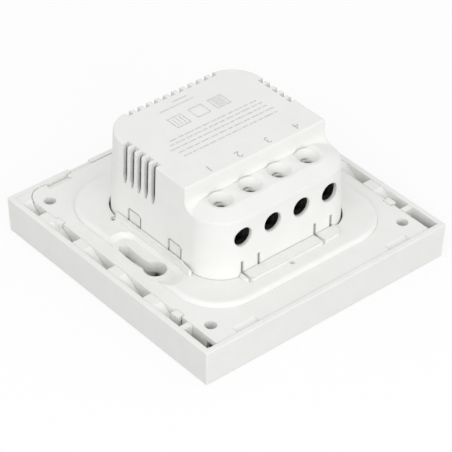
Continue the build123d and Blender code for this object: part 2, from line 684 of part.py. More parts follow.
def rear_housing():
    shell = module_outside()
    shell += ledge_swell()
    cavity = module_block(MODULE_WALL, MODULE_FRONT_Z, ROOF_IN) - step_space(ROOF_WALL)
    shell -= cavity
    for side in (-1, 1):
        flange_y = side * (module_half(MODULE_FRONT_Z) + (FLANGE_REACH - FLANGE_ROOT) / 2)
        shell += Pos(0, flange_y, (MODULE_FRONT_Z + PLATEAU_TOP - PLATE_THICK) / 2) * Box(
            FLANGE_LENGTH, FLANGE_REACH + FLANGE_ROOT, PLATEAU_TOP - PLATE_THICK - MODULE_FRONT_Z)
    for x in terminal_xs():
        shell += post(x, SCREW_Y, WELL_FRONT, LEDGE_IN, FUNNEL_HOLE_R + WELL_WALL)
        shell -= funnel(x)
        wall_y = -module_half(WIRE_Z)
        bore = Pos(x, wall_y, WIRE_Z) * Rot(90, 0, 0) * Cylinder(WIRE_HOLE_R, 3 * MODULE_WALL)
        mouth = Pos(x, wall_y, WIRE_Z) * Rot(90, 0, 0) * Cone(
            WIRE_HOLE_R - 0.3, WIRE_HOLE_R + WIRE_CHAMFER + 0.3, 2 * (WIRE_CHAMFER + 0.3))
        shell -= bore
        shell -= mouth
    for sx in (-1, 1):
        for sy in (-1, 1):
            shell -= post(sx * COVER_POST_XY, sy * COVER_POST_XY, COVER_Z + COVER_THICK,
                          POWER_BOARD_BACK + BOARD_SCREW_HEAD + MOVE_GAP, COVER_POST_R + MOVE_GAP)
    reach = VENT_DEPTH + 2
    for turn in (0, 180):
        for k in range(SIDE_VENTS):
            y = SIDE_VENT_Y + (k - (SIDE_VENTS - 1) / 2) * VENT_PITCH
            offset = y if turn == 0 else -y
            shell -= Rot(0, 0, turn) * Pos(0, offset, 0) * vent(reach)
        for y in (-WINDOW_Y, WINDOW_Y):
            shell -= Rot(0, 0, turn) * Pos(0, y, 0) * snap_window()
    for k in range(BACK_VENTS):
        x = (k - (BACK_VENTS - 1) / 2) * VENT_PITCH
        shell -= Rot(0, 0, 90) * Pos(0, x, 0) * vent(reach)
    for sy in (-1, 1):
        for sx in (-1, 1):
            for edge in (-TONGUE_HALF, TONGUE_HALF):
                slit_y = sy * module_half(TONGUE_TOP)
                shell -= Pos(sx * TONGUE_X + edge, slit_y, (MODULE_FRONT_Z + TONGUE_TOP) / 2) * Box(
                    TONGUE_SLIT, 3 * MODULE_WALL, TONGUE_TOP - MODULE_FRONT_Z)
    return shell


def inner_cover():
    cover = module_block(MODULE_WALL + PART_GAP, COVER_Z, COVER_Z + COVER_THICK)
    back = COVER_Z + COVER_THICK
    arm_top = WINDOW_TOP - ARM_TOP_DROP
    arm_outer = module_half(arm_top) - MODULE_WALL - FIT_GAP
    arm_half = WINDOW_WIDTH / 2 - WINDOW_GAP
    nib_face = module_half(arm_top) - NIB_SET_BACK
    for turn in (0, 180):
        for y in (-WINDOW_Y, WINDOW_Y):
            arm = box(arm_outer - ARM_THICK, arm_outer, y - arm_half, y + arm_half, back, arm_top)
            arm += box(arm_outer, nib_face, y - arm_half, y + arm_half,
                       WINDOW_BOTTOM + WINDOW_GAP, arm_top)
            cover += Rot(0, 0, turn) * arm
    for sx in (-1, 1):
        for sy in (-1, 1):
            cover += post(sx * COVER_POST_XY, sy * COVER_POST_XY, back, POWER_BOARD_Z, COVER_POST_R)
        for y in FRONT_POST_YS:
            cover += post(sx * FRONT_POST_X, y, CONTROL_BOARD_BACK, COVER_Z, FRONT_POST_R)
        cover -= post(sx * COVER_POST_XY, COVER_POST_XY, POWER_BOARD_Z - BOARD_SCREW_DEPTH,
                      POWER_BOARD_Z, BOARD_SCREW_R + FIT_GAP)
    window = header_half() + HEADER_WINDOW_X
    reach = HEADER_BODY_WIDTH / 2 + HEADER_WINDOW_Y
    cover -= box(-window, window, HEADER_Y - reach, HEADER_Y + reach, COVER_Z, back)
    return cover


def header_half():
    return HEADER_PINS * HEADER_PITCH / 2


def header_pin_places():
    places = []
    for k in range(HEADER_PINS):
        x = (k - (HEADER_PINS - 1) / 2) * HEADER_PITCH
        for row in (-0.5, 0.5):
            places.append((x, HEADER_Y + row * HEADER_PITCH))
    return places


def board_connector():
    half = HEADER_BODY_WIDTH / 2
    body = box(-header_half(), header_half(), HEADER_Y - half, HEADER_Y + half,
               POWER_BOARD_Z - HEADER_BODY_HEIGHT, POWER_BOARD_Z)
    for x, y in header_pin_places():
        body += box(x - HEADER_PIN / 2, x + HEADER_PIN / 2, y - HEADER_PIN / 2, y + HEADER_PIN / 2,
                    CONTROL_BOARD_Z - HEADER_PIN_OUT, POWER_BOARD_BACK + HEADER_PIN_OUT)
    return body


def drill_header(board, z0, z1):
    for x, y in header_pin_places():
        board -= post(x, y, z0, z1, HEADER_PIN / 2 * math.sqrt(2) + FIT_GAP)
    return board


def control_board():
    board = square_block(CONTROL_BOARD_SIZE, CONTROL_BOARD_SIZE, BOARD_RADIUS, CONTROL_BOARD_Z,
                         CONTROL_BOARD_BACK)
    return drill_header(board, CONTROL_BOARD_Z, CONTROL_BOARD_BACK)


def power_board():
    board = square_block(POWER_BOARD_X, POWER_BOARD_Y, BOARD_RADIUS, POWER_BOARD_Z, POWER_BOARD_BACK)
    board = drill_header(board, POWER_BOARD_Z, POWER_BOARD_BACK)
    for sx in (-1, 1):
        board += post(sx * COVER_POST_XY, COVER_POST_XY, POWER_BOARD_Z, POWER_BOARD_BACK,
                      BOARD_SCREW_HEAD_R)
        board -= post(sx * COVER_POST_XY, COVER_POST_XY, POWER_BOARD_Z, POWER_BOARD_BACK,
                      BOARD_SCREW_R + PART_GAP)
    leg_y = SCREW_Y + CAGE_BACK + MOVE_GAP + BAR_THICK / 2
    for x in terminal_xs():
        board -= Pos(x, leg_y, (POWER_BOARD_Z + POWER_BOARD_BACK) / 2) * Box(
            LEG_WIDTH + 2 * PART_GAP, BAR_THICK + 2 * PART_GAP, POWER_BOARD_THICK)
    return board


def board_screws():
    screws = []
    for sx in (-1, 1):
        x = sx * COVER_POST_XY
        shank_end = POWER_BOARD_Z - BOARD_SCREW_DEPTH + MOVE_GAP
        head_top = POWER_BOARD_BACK + BOARD_SCREW_HEAD
        screw = post(x, COVER_POST_XY, shank_end, POWER_BOARD_BACK, BOARD_SCREW_R)
        screw += post(x, COVER_POST_XY, POWER_BOARD_BACK, head_top, BOARD_SCREW_HEAD_R)
        for turn in (0, 90):
            slot = Rot(0, 0, turn) * Box(BOARD_SLOT_LENGTH, BOARD_SLOT_WIDTH, 2 * BOARD_SLOT_DEPTH)
            screw -= Pos(x, COVER_POST_XY, head_top) * slot
        screws.append(screw)
    return Compound(children=screws)


def power_parts():
    """Mains components, each standing on the power board."""
    z = POWER_BOARD_BACK
    parts = {}
    relay_middle = STEP_Y + RELAY_FROM_STEP + RELAY_Y / 2
    for name, x in (("relay_left", RELAY_LEFT_X), ("relay_right", RELAY_RIGHT_X)):
        relay = Pos(x, relay_middle, z + RELAY_Z / 2) * Box(RELAY_X, RELAY_Y, RELAY_Z)
        relay = fillet(relay.edges().filter_by(Axis.Z), RELAY_EDGE)
        mark = Box(RELAY_MARK, RELAY_MARK, 2 * RELAY_MARK_DEPTH)
        parts[name] = relay - Pos(x, relay_middle, z + RELAY_Z) * mark
    parts.update(transformer(TRANSFORMER_X, TRANSFORMER_Y, z))
    parts["bulk_capacitor"] = capacitor(BULK_X, BULK_Y, z, BULK_R, BULK_HEIGHT)
    parts["output_capacitor"] = capacitor(OUTPUT_X, OUTPUT_Y, z, OUTPUT_R, OUTPUT_HEIGHT)
    parts["varistor"] = disc(VARISTOR_X, VARISTOR_Y, z, VARISTOR_R, VARISTOR_THICK)
    fuse = Pos(FUSE_X, FUSE_Y, z + FUSE_LIFT) * Rot(0, 90, 0) * Cylinder(FUSE_R, FUSE_LENGTH)
    for dx in (-FUSE_LEG_X, FUSE_LEG_X):
        fuse += Pos(FUSE_X + dx, FUSE_Y, z + FUSE_LIFT / 2) * Box(FUSE_LEG, FUSE_LEG, FUSE_LIFT)
    parts["fuse"] = fuse
    parts["bridge_rectifier"] = Pos(RECTIFIER_X, RECTIFIER_Y, z + RECTIFIER_HEIGHT / 2) * Box(
        RECTIFIER_WIDTH, RECTIFIER_LENGTH, RECTIFIER_HEIGHT)
    return parts


def transformer(x, y, z):
    top = z + CORE_HEIGHT
    core = Pos(x, y, z + CORE_HEIGHT / 2) * Box(CORE_WIDTH, CORE_THICK, CORE_HEIGHT)
    window = CORE_WIDTH / 2 - 1.5 * CORE_LEG
    for start in (x - CORE_WIDTH / 2 + CORE_LEG, x + CORE_LEG / 2):
        core -= box(start, start + window, y - CORE_THICK, y + CORE_THICK, z + CORE_LEG,
                    top - CORE_LEG)
    half = CORE_LEG / 2 + FIT_GAP
    outer = CORE_WIDTH / 2 - CORE_LEG - FIT_GAP
    winding = box(x - outer, x + outer, y - WINDING_Y / 2, y + WINDING_Y / 2,
                  z + CORE_LEG + FIT_GAP, top - CORE_LEG - FIT_GAP)
    winding = fillet(winding.edges().filter_by(Axis.Z), WINDING_EDGE)
    reach = CORE_THICK / 2 + FIT_GAP
    winding -= box(x - half, x + half, y - reach, y + reach, z, top)
    return {"transformer_core": core, "transformer_winding": winding}


def capacitor(x, y, z, radius, height):
    can = post(x, y, z, z + height, radius)
    can = fillet(can.edges().group_by(Axis.Z)[-1], CAN_EDGE)
    low = z + CAN_GROOVE_START
    high = low + CAN_GROOVE_WIDTH
    groove = post(x, y, low, high, radius + 1) - post(x, y, low, high, radius - CAN_GROOVE_DEPTH)
    return can - groove


def disc(x, y, z, radius, thick):
    body = Pos(x, y, z + radius + VARISTOR_LIFT) * Rot(90, 0, 0) * Cylinder(radius, thick)
    for dx in (-VARISTOR_LEG_X, VARISTOR_LEG_X):
        body += post(x + dx, y, z, z + radius, VARISTOR_LEG_R)
    return body


def chamber(x):
    """Room for one clamp, open at the top and towards its wire hole."""
    back = SCREW_Y + CAGE_BACK + MOVE_GAP + BAR_THICK + PART_GAP
    shelf = SCREW_Y - CAGE_FRONT - MOVE_GAP
    front = -module_half(WIRE_Z) + MODULE_WALL + BLOCK_ROOF_GAP + BLOCK_FRONT_WALL
    bar_half = BAR_HEAD_WIDTH / 2 + PART_GAP
    room = box(x - CHAMBER_HALF, x + CHAMBER_HALF, shelf, back, CHAMBER_FLOOR, ROOF_IN)
    room += box(x - bar_half, x + bar_half, front, shelf, BAR_BOTTOM, ROOF_IN)
    room += box(x - LEG_WIDTH, x + LEG_WIDTH, front, shelf, CHAMBER_FLOOR, BAR_BOTTOM)
    room += box(x - WIRE_HOLE_R, x + WIRE_HOLE_R, front - 2 * BLOCK_FRONT_WALL, front,
                WIRE_Z - WIRE_HOLE_R, WIRE_Z + WIRE_HOLE_R)
    room += box(x - LEG_WIDTH / 2 - PART_GAP, x + LEG_WIDTH / 2 + PART_GAP,
                back - BAR_THICK - 2 * PART_GAP, back, POWER_BOARD_BACK, CHAMBER_FLOOR)
    return room


def terminal_block():
    back = SCREW_Y + CAGE_BACK + MOVE_GAP + BAR_THICK + PART_GAP + BLOCK_BACK_WALL
    top = LEDGE_IN - BLOCK_ROOF_GAP
    block = module_block(MODULE_WALL + BLOCK_ROOF_GAP, POWER_BOARD_BACK, top)
    keep = box(-POWER_BOARD_X / 2, POWER_BOARD_X / 2, -BEZEL_BACK / 2, back, POWER_BOARD_BACK, top)
    block = block & keep
    for x in terminal_xs():
        block -= chamber(x)
    return block


def terminal_screw(x):
    tip = BAR_TOP + FIT_GAP
    screw = post(x, SCREW_Y, tip, HEAD_BOTTOM, SHAFT_R)
    head = post(x, SCREW_Y, HEAD_BOTTOM, HEAD_TOP, HEAD_R)
    head = fillet(head.edges().group_by(Axis.Z)[-1], HEAD_EDGE)
    for turn in (0, 90):
        head -= Pos(x, SCREW_Y, HEAD_TOP) * Rot(0, 0, turn) * Box(
            1.6 * HEAD_R, HEAD_SLOT, 2 * HEAD_SLOT_DEPTH)
    return screw + head


def clamp_cage(x):
    """Metal loop that the screw draws up, gripping the wire against the bar inside it."""
    y0 = SCREW_Y - CAGE_FRONT
    y1 = SCREW_Y + CAGE_BACK
    outer = CAGE_INNER_WIDTH / 2 + CAGE_WALL
    cage = box(x - outer, x + outer, y0, y1, CAGE_BOTTOM, CAGE_TOP)
    cage = fillet(cage.edges().filter_by(Axis.Y), CAGE_EDGE)
    cage -= box(x - CAGE_INNER_WIDTH / 2, x + CAGE_INNER_WIDTH / 2, y0 - 1, y1 + 1,
                CAGE_BOTTOM + CAGE_WALL, CAGE_TOP - CAGE_WALL)
    return cage - post(x, SCREW_Y, CAGE_TOP - CAGE_WALL, CAGE_TOP, SHAFT_R + FIT_GAP)


def terminal_contact(x):
    """Fixed bar through the cage, with a leg down to the power board."""
    leg_y = SCREW_Y + CAGE_BACK + MOVE_GAP
    front = SCREW_Y - BAR_REACH
    bar = box(x - BAR_WIDTH / 2, x + BAR_WIDTH / 2, front, leg_y + BAR_THICK, BAR_BOTTOM, BAR_TOP)
    bar += box(x - BAR_HEAD_WIDTH / 2, x + BAR_HEAD_WIDTH / 2, front, front + BAR_HEAD_LENGTH,
               BAR_BOTTOM, BAR_TOP)
    bar += box(x - LEG_WIDTH / 2, x + LEG_WIDTH / 2, leg_y, leg_y + BAR_THICK,
               POWER_BOARD_Z - LEG_TAIL, BAR_TOP)
    return bar


def rocker(side):
    """One rocker: face, skirt, push post, hinge lugs with stubs. Side is -1 or 1."""
    middle = ROCKER_MIDDLE
    face = RectangleRounded(ROCKER_WIDTH, ROCKER_LENGTH, ROCKER_RADIUS)
    inner = RectangleRounded(ROCKER_WIDTH - 2 * ROCKER_SKIRT, ROCKER_LENGTH - 2 * ROCKER_SKIRT,
                             ROCKER_RADIUS / 2)
    paddle = Pos(middle, 0, ROCKER_Z) * extrude(face, amount=ROCKER_THICK)
    paddle = chamfer(paddle.edges().group_by(Axis.Z)[0], ROCKER_EDGE)
    paddle += Pos(middle, 0, ROCKER_BACK) * extrude(face - inner, amount=ROCKER_SKIRT)
    for offset in (-1, 1):
        lug_x = middle + offset * LUG_SPREAD / 2
        paddle += box(lug_x - LUG_THICK / 2, lug_x + LUG_THICK / 2, HINGE_Y - LUG_R, HINGE_Y + LUG_R,
                      ROCKER_BACK, HINGE_Z)
        paddle += bar_along_x(lug_x - LUG_THICK / 2, lug_x + LUG_THICK / 2, HINGE_Y, HINGE_Z, LUG_R)
        face_x = lug_x + offset * LUG_THICK / 2
        end_x = face_x + offset * (STUB_LENGTH + PART_GAP)
        paddle += bar_along_x(min(face_x, end_x), max(face_x, end_x), HINGE_Y, HINGE_Z, STUB_R)
    paddle += post(SWITCH_X, SWITCH_Y, ROCKER_BACK, PLUNGER_FRONT - MOVE_GAP, PUSH_POST_R)
    paddle -= post(SWITCH_X, LENS_Y, 0, ROCKER_BACK, LENS_R + FIT_GAP)
    return paddle if side > 0 else mirror(paddle, Plane.YZ)


def carrier_cuts():
    """Openings on the +X half of the carrier, as a list of cutters."""
    z0, z1 = CARRIER_Z, CARRIER_BACK
    half = SWITCH_BODY / 2 + SWITCH_ROOM
    cuts = [box(SWITCH_X - half, SWITCH_X + half, SWITCH_Y - half, SWITCH_Y + half, z0, z1)]
    cuts.append(post(SWITCH_X, LENS_Y, z0, z1, GUIDE_R + FIT_GAP))
    for offset in (-1, 1):
        lug_x = ROCKER_MIDDLE + offset * LUG_SPREAD / 2
        reach = LUG_R + 2 * MOVE_GAP
        cuts.append(box(lug_x - LUG_THICK / 2 - MOVE_GAP, lug_x + LUG_THICK / 2 + MOVE_GAP,
                        HINGE_Y - reach, HINGE_Y + reach, z0, z1))
    return cuts


def screw_access():
    """Opening in the carrier behind the keyhole on the +X side."""
    radius = BOX_SCREW_SPACING / 2 - BOX_KEYHOLE_INSET
    x = radius * math.cos(math.radians(BOX_KEYHOLE_ANGLE))
    y = radius * math.sin(math.radians(BOX_KEYHOLE_ANGLE))
    half = BOX_KEYHOLE_R + SCREW_ACCESS_SPARE
    return box(x - half, x + half, y - half, y + half, CARRIER_Z, CARRIER_BACK)


def hinge_ears():
    """Ears on the +X half of the carrier that hold one rocker's stubs."""
    ears = []
    for offset in (-1, 1):
        lug_x = ROCKER_MIDDLE + offset * LUG_SPREAD / 2
        near = lug_x + offset * (LUG_THICK / 2 + MOVE_GAP)
        far = near + offset * EAR_THICK
        ears.append(box(min(near, far), max(near, far), HINGE_Y - EAR_HALF, HINGE_Y + EAR_HALF,
                        EAR_FRONT, CARRIER_BACK))
    return ears


def rocker_carrier():
    half = CARRIER_SIZE / 2
    plate = box(-half, half, -half, half, CARRIER_Z, CARRIER_BACK)
    plate += square_ring(half, half - CARRIER_WALL, CARRIER_BACK, PLATE_BOTTOM)
    tub = DISH_NEAR + DISH_RUN_NEAR + 2 * PLATE_THICK
    for side in (-1, 1):
        flip = side < 0
        plate -= Pos(side * half, 0, (CARRIER_BACK + PLATE_BOTTOM) / 2) * Box(
            6 * CARRIER_WALL, 2 * tub, PLATE_BOTTOM - CARRIER_BACK)
        for sy in (-1, 1):
            plate -= Pos(side * half, sy * half, (CARRIER_Z + PLATE_BOTTOM) / 2) * Box(
                2 * CARRIER_CORNER, 2 * CARRIER_CORNER, PLATE_BOTTOM - CARRIER_Z)
        for cut in carrier_cuts():
            plate -= mirror(cut, Plane.YZ) if flip else cut
        for ear in hinge_ears():
            plate += mirror(ear, Plane.YZ) if flip else ear
    for turn in (0, 180):
        plate -= Rot(0, 0, turn) * screw_access()
    outer_reach = ROCKER_MIDDLE + LUG_SPREAD / 2 + LUG_THICK + EAR_THICK + 2 * MOVE_GAP
    for offset in (-1, 1):
        for side in (-1, 1):
            lug_x = side * (ROCKER_MIDDLE + offset * LUG_SPREAD / 2)
            reach = min(LUG_THICK / 2 + MOVE_GAP + EAR_THICK, outer_reach)
            plate -= bar_along_x(lug_x - reach, lug_x + reach, HINGE_Y, HINGE_Z, STUB_R + FIT_GAP)
    return plate


def tact_switch(side):
    x = side * SWITCH_X
    half = SWITCH_BODY / 2
    body = box(x - half, x + half, SWITCH_Y - half, SWITCH_Y + half, SWITCH_FRONT, CONTROL_BOARD_Z)
    body = chamfer(body.edges().filter_by(Axis.Z), SWITCH_EDGE)
    return body - post(x, SWITCH_Y, SWITCH_FRONT, CONTROL_BOARD_Z - SWITCH_FLOOR, PLUNGER_R + FIT_GAP)


def tact_plunger(side):
    return post(side * SWITCH_X, SWITCH_Y, PLUNGER_FRONT, PLUNGER_FRONT + PLUNGER_LENGTH, PLUNGER_R)


def rocker_lens(side):
    return post(side * SWITCH_X, LENS_Y, ROCKER_Z, ROCKER_BACK, LENS_R)


def light_guide(side):
    x = side * SWITCH_X
    guide = post(x, LENS_Y, GUIDE_FRONT, CARRIER_BACK - GUIDE_SET_BACK, GUIDE_R)
    return guide + post(x, LENS_Y, CARRIER_Z - GUIDE_FLANGE, CARRIER_Z, GUIDE_FLANGE_R)


def indicator_led(side):
    half = LED_SIZE / 2
    x = side * SWITCH_X
    return box(x - half, x + half, LENS_Y - half, LENS_Y + half, CONTROL_BOARD_Z - LED_HEIGHT,
               CONTROL_BOARD_Z)


def radio_module():
    z = CONTROL_BOARD_BACK
    module = Pos(RADIO_X, RADIO_Y, z + RADIO_THICK / 2) * Box(RADIO_WIDTH, RADIO_LENGTH, RADIO_THICK)
    chip = Box(CHIP_SIZE, CHIP_SIZE, CHIP_THICK)
    return module + Pos(RADIO_X, CHIP_Y, z + RADIO_THICK + CHIP_THICK / 2) * chip


def radio_shield():
    z0 = CONTROL_BOARD_BACK + RADIO_THICK
    z1 = COVER_Z - MOVE_GAP
    inner_top = z1 - SHIELD_WALL
    can = Pos(RADIO_X, SHIELD_Y, (z0 + z1) / 2) * Box(SHIELD_WIDTH, SHIELD_LENGTH, z1 - z0)
    return can - Pos(RADIO_X, SHIELD_Y, (z0 + inner_top) / 2) * Box(
        SHIELD_WIDTH - 2 * SHIELD_WALL, SHIELD_LENGTH - 2 * SHIELD_WALL, inner_top - z0)


def all_parts():
    parts = {
        "bezel_frame": bezel_frame(),
        "mounting_plate": mounting_plate(),
        "rocker_carrier": rocker_carrier(),
        "rear_housing": rear_housing(),
        "inner_cover": inner_cover(),
        "control_board": control_board(),
        "radio_module": radio_module(),
        "radio_shield": radio_shield(),
        "board_connector": board_connector(),
        "power_board": power_board(),
        "board_screws": board_screws(),
        "terminal_block": terminal_block(),
    }
    parts.update(power_parts())
    for name, side in (("left", -1), ("right", 1)):
        parts["rocker_" + name] = rocker(side)
        parts["rocker_lens_" + name] = rocker_lens(side)
        parts["light_guide_" + name] = light_guide(side)
        parts["indicator_led_" + name] = indicator_led(side)
        parts["tact_switch_" + name] = tact_switch(side)
        parts["tact_plunger_" + name] = tact_plunger(side)
    for number, x in enumerate(terminal_xs(), start=1):
        parts[f"terminal_screw_{number}"] = terminal_screw(x)
        parts[f"clamp_cage_{number}"] = clamp_cage(x)
        parts[f"terminal_contact_{number}"] = terminal_contact(x)
    return parts


for node, shape in all_parts().items():
    export_step(shape, f"parts/{node}.step")

turns = CLAMP_TRAVEL / SCREW_LEAD
arm = HINGE_Y - SWITCH_Y
print("clamp screw degrees", round(turns * 360, 1), "cage m per rad", SCREW_LEAD / 1000 / (2 * math.pi))
print("rocker to plunger m per rad", arm / 1000, "plunger mm", arm * math.radians(PRESS_DEGREES))
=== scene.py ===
import bpy
import bmesh
import math
from mathutils import Matrix, Vector


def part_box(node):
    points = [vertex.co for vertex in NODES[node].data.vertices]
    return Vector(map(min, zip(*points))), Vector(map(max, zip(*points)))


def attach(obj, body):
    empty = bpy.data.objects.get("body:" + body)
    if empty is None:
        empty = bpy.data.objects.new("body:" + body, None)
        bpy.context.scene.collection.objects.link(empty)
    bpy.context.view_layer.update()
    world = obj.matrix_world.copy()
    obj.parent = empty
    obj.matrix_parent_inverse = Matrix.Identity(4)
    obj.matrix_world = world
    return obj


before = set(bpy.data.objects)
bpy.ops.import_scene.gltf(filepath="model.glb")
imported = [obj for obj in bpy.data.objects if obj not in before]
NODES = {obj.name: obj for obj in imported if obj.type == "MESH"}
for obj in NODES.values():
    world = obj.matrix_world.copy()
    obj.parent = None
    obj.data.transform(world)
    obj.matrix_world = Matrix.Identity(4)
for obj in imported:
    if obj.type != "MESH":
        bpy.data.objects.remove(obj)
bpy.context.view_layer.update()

HOUSING_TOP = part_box("rear_housing")[1].z
TERMINAL_X = (-0.0153, -0.0051, 0.0051, 0.0153)

# Camera, in degrees, metres and pixels of the picture
CAMERA_AZIMUTH = -41.25
CAMERA_ELEVATION = 37.766
CAMERA_ROLL = 1.195
CAMERA_TARGET = (0.005057, 0.005431, 0.0)
CAMERA_DISTANCE = 0.66706
FOCAL_PIXELS = 2385.03
PICTURE_PIXELS = 452
SENSOR_WIDTH = 36.0

# Surface detail: scales in features per metre, reaches and depths in metres
MOTTLE_SCALE = 140.0      # moulded plastic
FINE_NOISE_SCALE = 900.0
SHEEN_SCALE = 420.0
SINK_SCALE = 55.0
SINK_DEPTH = 0.0003
# reach of the painted shade in the corners of moulded plastic
CORNER_SHADE_REACH = 0.0016
BLOTCH_SCALE = 380.0      # metal
# reach of the painted shade in the crevices of metal
CREVICE_SHADE_REACH = 0.0008
DRAWN_DEPTH = 0.00003
METAL_EDGE = 0.00012
TRACK_SCALE_X = 95.0      # circuit boards
TRACK_SCALE_Y = 80.0
PAD_SCALE = 420.0
TRACK_DEPTH = 0.00004
MASK_DEPTH = 0.00002
TURN_DEPTH = 0.00012      # wound wire
PATCH_SCALE = 260.0       # coated components
COATED_GRAIN = 1500.0
COATED_EDGE = 0.0002
FLOW_SCALE = 500.0        # clear plastic
FLOW_DEPTH = 0.00004
INK_SCALE = 1600.0        # print
INK_GRAIN = 2600.0
INK_DEPTH = 0.00002
INK_THIN = 1.35           # how much paler the ink is where it is thin
INK_PALEST = 0.8

# Print on the module's back face, in millimetres unless metres are named
PRINT_LIFT = 0.000004     # metres
PRINT_THICK = 0.000012    # metres
RULES = ((6.6, -14.5, 16.0), (4.95, -15.8, 16.7), (3.1, -17.0, 18.0), (1.15, -15.8, 17.6),
         (-0.9, -15.6, 17.0))                                        # y, start, end
RULE_WIDTH = 0.5
DASHES = (2.6, 1.7, 3.2, 2.1)
DASH_GAP = 0.45
BOXES = ((-6.4, 12.4, 2.5), (0.9, 12.6, 2.4), (7.9, 12.6, 2.5))      # x, y, half a side
BOX_STROKE = 0.42
TALLY_SHIFTS = (-1.2, 0.0, 1.2)                                      # upright bars, first box
TALLY_HEIGHT = 3.2
HATCH_BARS = 6                                                       # level bars, last box
HATCH_WIDTH = 0.34
HATCH_REACH = 1.6
SHORT_RULES = ((-8.2, 3.8, 18.5, 0.45), (-2.4, 3.0, 20.4, 0.4))      # start, end, y, width
NUMERAL_SIZE = 0.0037     # metres, as the next four
NUMERAL_DEPTH = 0.000006
NUMERAL_LIFT = 0.00001
NUMERAL_SHIFT = 0.0011
NUMERAL_Y = -0.0092

# Stage, in metres and watts
FLOOR_HALF = 3.0
FLOOR_DROP = 0.00002
FLOOR_SEEN = (0.97, 0.97, 0.97)
FLOOR_BOUNCE = (0.50, 0.50, 0.50)
FLOOR_WHITE = 0.78        # share of the seen floor that is plain white; the rest takes the shadow
WORLD_LEVEL = 0.85
LAMP_AIM = (0, 0, 0.02)
LAMP_SIZE = (0.7, 0.5)
LAMPS = {"key": ((-0.28, -0.85, 0.25), 2.5), "fill": ((-0.80, -0.35, 0.60), 1.5)}

scene = bpy.context.scene
scene.view_settings.view_transform = "Standard"


def make_camera():
    azimuth = math.radians(CAMERA_AZIMUTH)
    elevation = math.radians(CAMERA_ELEVATION)
    roll = math.radians(CAMERA_ROLL)
    back = Vector((math.sin(azimuth) * math.cos(elevation),
                   -math.cos(azimuth) * math.cos(elevation), math.sin(elevation)))
    level_right = Vector((math.cos(azimuth), math.sin(azimuth), 0))
    level_up = back.cross(level_right)
    right = math.cos(roll) * level_right + math.sin(roll) * level_up
    up = -math.sin(roll) * level_right + math.cos(roll) * level_up
    data = bpy.data.cameras.new("camera")
    data.sensor_width = SENSOR_WIDTH
    data.lens = FOCAL_PIXELS / PICTURE_PIXELS * SENSOR_WIDTH
    data.clip_start, data.clip_end = 0.01, 20
    camera = bpy.data.objects.new("camera", data)
    turn = Matrix((right, up, back)).transposed()
    place = Vector(CAMERA_TARGET) + back * CAMERA_DISTANCE
    camera.matrix_world = Matrix.Translation(place) @ turn.to_4x4()
    scene.collection.objects.link(camera)
    scene.camera = camera


make_camera()


# Materials
class Shader:
    """A Principled material with short helpers for its procedural nodes."""

    def __init__(self, name, **sockets):
        self.material = bpy.data.materials.new(name)
        self.material.use_nodes = True
        self.nodes = self.material.node_tree.nodes
        self.links = self.material.node_tree.links
        self.bsdf = self.nodes["Principled BSDF"]
        for socket, value in sockets.items():
            self.bsdf.inputs[socket.replace("_", " ")].default_value = value
        self.coords = self.nodes.new("ShaderNodeTexCoord").outputs["Object"]

    def join(self, a, b):
        self.links.new(a, b)

    def stretched(self, scale):
        mapping = self.nodes.new("ShaderNodeMapping")
        mapping.inputs["Scale"].default_value = scale
        self.join(self.coords, mapping.inputs["Vector"])
        return mapping.outputs["Vector"]

    def noise(self, scale, detail=3.0, rough=0.55, vector=None):
        n = self.nodes.new("ShaderNodeTexNoise")
        n.inputs["Scale"].default_value = scale
        n.inputs["Detail"].default_value = detail
        n.inputs["Roughness"].default_value = rough
        self.join(vector or self.coords, n.inputs["Vector"])
        return n.outputs["Fac"]

    def cells(self, scale):
        n = self.nodes.new("ShaderNodeTexVoronoi")
        n.inputs["Scale"].default_value = scale
        self.join(self.coords, n.inputs["Vector"])
        return n.outputs["Distance"]

    def bands(self, scale, direction, distortion):
        n = self.nodes.new("ShaderNodeTexWave")
        n.bands_direction = direction
        n.inputs["Scale"].default_value = scale
        n.inputs["Distortion"].default_value = distortion
        self.join(self.coords, n.inputs["Vector"])
        return n.outputs["Fac"]

    def spread(self, value, low, high, out_low=0.0, out_high=1.0):
        n = self.nodes.new("ShaderNodeMapRange")
        limits = {"From Min": low, "From Max": high, "To Min": out_low, "To Max": out_high}
        for socket, limit in limits.items():
            n.inputs[socket].default_value = limit
        self.join(value, n.inputs["Value"])
        return n.outputs["Result"]

    def math(self, operation, a, b):
        n = self.nodes.new("ShaderNodeMath")
        n.operation = operation
        for socket, value in ((n.inputs[0], a), (n.inputs[1], b)):
            if isinstance(value, (int, float)):
                socket.default_value = value
            else:
                self.join(value, socket)
        return n.outputs["Value"]

    def blend(self, share, a, b):
        """Mix of two colours: inputs 0, 6 and 7 are the share and the colours, output 2 the mix."""
        n = self.nodes.new("ShaderNodeMix")
        n.data_type = "RGBA"
        for index, value in ((0, share), (6, a), (7, b)):
            if isinstance(value, tuple):
                n.inputs[index].default_value = (*value, 1.0)
            else:
                self.join(value, n.inputs[index])
        return n.outputs[2]

    def shade(self, distance):
        n = self.nodes.new("ShaderNodeAmbientOcclusion")
        n.samples = 8
        n.inputs["Distance"].default_value = distance
        return n.outputs["AO"]

    def edge(self, radius):
        n = self.nodes.new("ShaderNodeBevel")
        n.samples = 4
        n.inputs["Radius"].default_value = radius
        return n.outputs["Normal"]

    def relief(self, height, strength, distance, normal=None):
        n = self.nodes.new("ShaderNodeBump")
        n.inputs["Strength"].default_value = strength
        n.inputs["Distance"].default_value = distance
        self.join(height, n.inputs["Height"])
        if normal is not None:
            self.join(normal, n.inputs["Normal"])
        return n.outputs["Normal"]

    def color(self, value):
        self.join(value, self.bsdf.inputs["Base Color"])

    def roughness(self, value):
        self.join(value, self.bsdf.inputs["Roughness"])

    def normal(self, value):
        self.join(value, self.bsdf.inputs["Normal"])


def scaled(tint, share):
    return tuple(c * share for c in tint)


